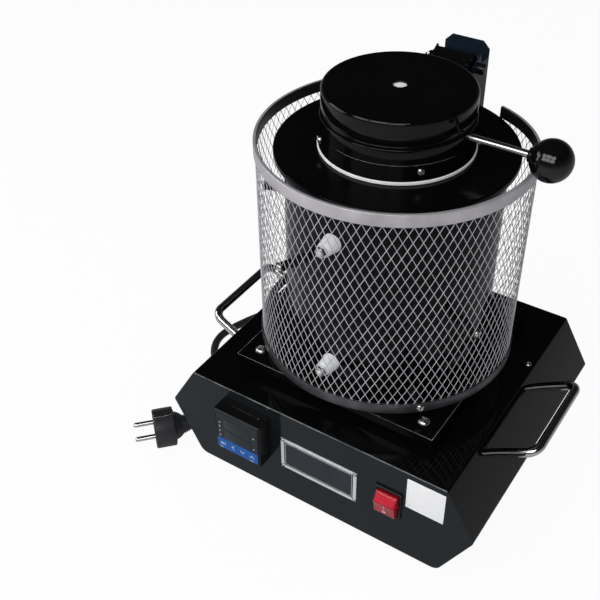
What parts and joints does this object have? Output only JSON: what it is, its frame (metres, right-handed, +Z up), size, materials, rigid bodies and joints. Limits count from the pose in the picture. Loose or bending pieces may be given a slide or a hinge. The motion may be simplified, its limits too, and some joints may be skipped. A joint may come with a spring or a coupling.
{
  "type": "electric gold melting furnace",
  "caption": "Bench crucible furnace: six-sided case with controller and rocker switch, mesh-guarded round heater drum, hinged lid with a ball handle, mains cord and plug.",
  "frame": {"origin": "centre of the footprint of the furnace without its cord, on the surface it stands on", "axes": "+Z up along the chamber's axis, -Y towards the panel with the controls, +X to the switch's side"},
  "size_m": [0.3882, 0.4469, 0.3719],
  "materials": {
    "gloss_black_enamel": "gloss black enamel on sheet steel",
    "satin_black_steel": "satin black paint on sheet steel",
    "charcoal_paint": "smooth charcoal powder coat",
    "zinc_steel": "zinc-plated fasteners and tubes",
    "foot_rubber": "black rubber feet",
    "chromed_bar": "polished chrome bar",
    "black_plastic": "black moulded plastic",
    "display_plate": "dark grey display plate",
    "key_blue": "blue keys",
    "rocker_red": "red translucent rocker",
    "nameplate_aluminium": "aluminium plate, bare field",
    "label_white": "white film label, bare",
    "white_fibre": "pressed ceramic fibre",
    "fired_ceramic": "fired ceramic",
    "white_ceramic": "glazed ceramic bush",
    "heater_wire": "oxidised heating wire",
    "probe_steel": "steel probe sheath and head",
    "guard_mesh_steel": "light grey expanded steel",
    "guard_band_steel": "grey steel band",
    "black_bolt_steel": "blackened bolt",
    "bright_rod": "bright steel rod",
    "knob_black": "black phenolic ball",
    "sink_aluminium": "aluminium base",
    "block_white": "white moulded terminal block",
    "gland_black": "black nylon gland",
    "cord_rubber": "black rubber sheath",
    "plug_rubber": "black moulded plug",
    "plated_pins": "nickel-plated pins and earth strips"
  },
  "bodies": {
    "furnace": {"case_cover": "gloss_black_enamel", "case_floor_plate": "satin_black_steel", "case_front_panel": "charcoal_paint", "case_rear_panel": "charcoal_paint", "case_screws": "zinc_steel", "rubber_feet": "foot_rubber", "foot_screws": "zinc_steel", "handle_right": "chromed_bar", "handle_left": "chromed_bar", "handle_screws": "zinc_steel", "controller_housing": "black_plastic", "controller_face": "display_plate", "controller_clamp": "black_plastic", "switch_housing": "black_plastic", "nameplate": "nameplate_aluminium", "blank_label": "label_white", "platform_plate": "gloss_black_enamel", "platform_standoffs": "zinc_steel", "platform_screws": "zinc_steel", "drum_shell": "satin_black_steel", "top_disc": "gloss_black_enamel", "insulation_jacket": "white_fibre", "chamber_floor": "fired_ceramic", "ceramic_muffle": "fired_ceramic", "heating_coil": "heater_wire", "terminal_insulators": "white_ceramic", "terminal_bolts": "zinc_steel", "temperature_probe": "probe_steel", "collar_gasket": "white_fibre", "collar_ring": "gloss_black_enamel", "mouth_insulation": "white_fibre", "collar_screws": "zinc_steel", "guard_mesh": "guard_mesh_steel", "guard_bottom_band": "guard_band_steel", "guard_top_band": "guard_band_steel", "spacer_tubes": "zinc_steel", "spacer_screws": "zinc_steel", "hinge_column": "satin_black_steel", "hinge_bolt": "black_bolt_steel", "hinge_nut": "zinc_steel", "relay_heat_sink": "sink_aluminium", "heater_relay": "black_plastic", "wire_terminal_block": "block_white", "cord_gland": "gland_black", "cord_strain_relief": "cord_rubber", "cord_exit_stretch": "cord_rubber", "cord_coil": "cord_rubber", "cord_front_stretch": "cord_rubber", "plug_body": "plug_rubber", "plug_pins": "plated_pins"},
    "lid": {"lid_shell": "gloss_black_enamel", "lid_insulation": "white_fibre", "lid_hinge_arm": "satin_black_steel", "lid_handle_rod": "bright_rod", "lid_ball_knob": "knob_black"},
    "rocker": {"switch_rocker": "rocker_red"},
    "key_set": {"key_set": "key_blue"},
    "key_shift": {"key_shift": "key_blue"},
    "key_down": {"key_down": "key_blue"},
    "key_up": {"key_up": "key_blue"}
  },
  "joints": [
    {"name": "lid_hinge", "type": "hinge", "parent": "furnace", "child": "lid", "pos_m": [0, 0.0957, 0.3507], "axis": [-1, 0, 0], "range_deg": [0, 122]},
    {"name": "rocker_tilt", "type": "hinge", "parent": "furnace", "child": "rocker", "pos_m": [0.0748, -0.1249, 0.06975], "axis": [1, 0, 0], "range_deg": [0, 14]},
    {"name": "key_set_press", "type": "slide", "parent": "furnace", "child": "key_set", "axis": [0, 1, 0], "range_m": [0, 0.0005], "stiffness_N_per_m": 300, "springref_m": -0.0002},
    {"name": "key_shift_press", "type": "slide", "parent": "furnace", "child": "key_shift", "axis": [0, 1, 0], "range_m": [0, 0.0005], "stiffness_N_per_m": 300, "springref_m": -0.0002},
    {"name": "key_down_press", "type": "slide", "parent": "furnace", "child": "key_down", "axis": [0, 1, 0], "range_m": [0, 0.0005], "stiffness_N_per_m": 300, "springref_m": -0.0002},
    {"name": "key_up_press", "type": "slide", "parent": "furnace", "child": "key_up", "axis": [0, 1, 0], "range_m": [0, 0.0005], "stiffness_N_per_m": 300, "springref_m": -0.0002}
  ]
}
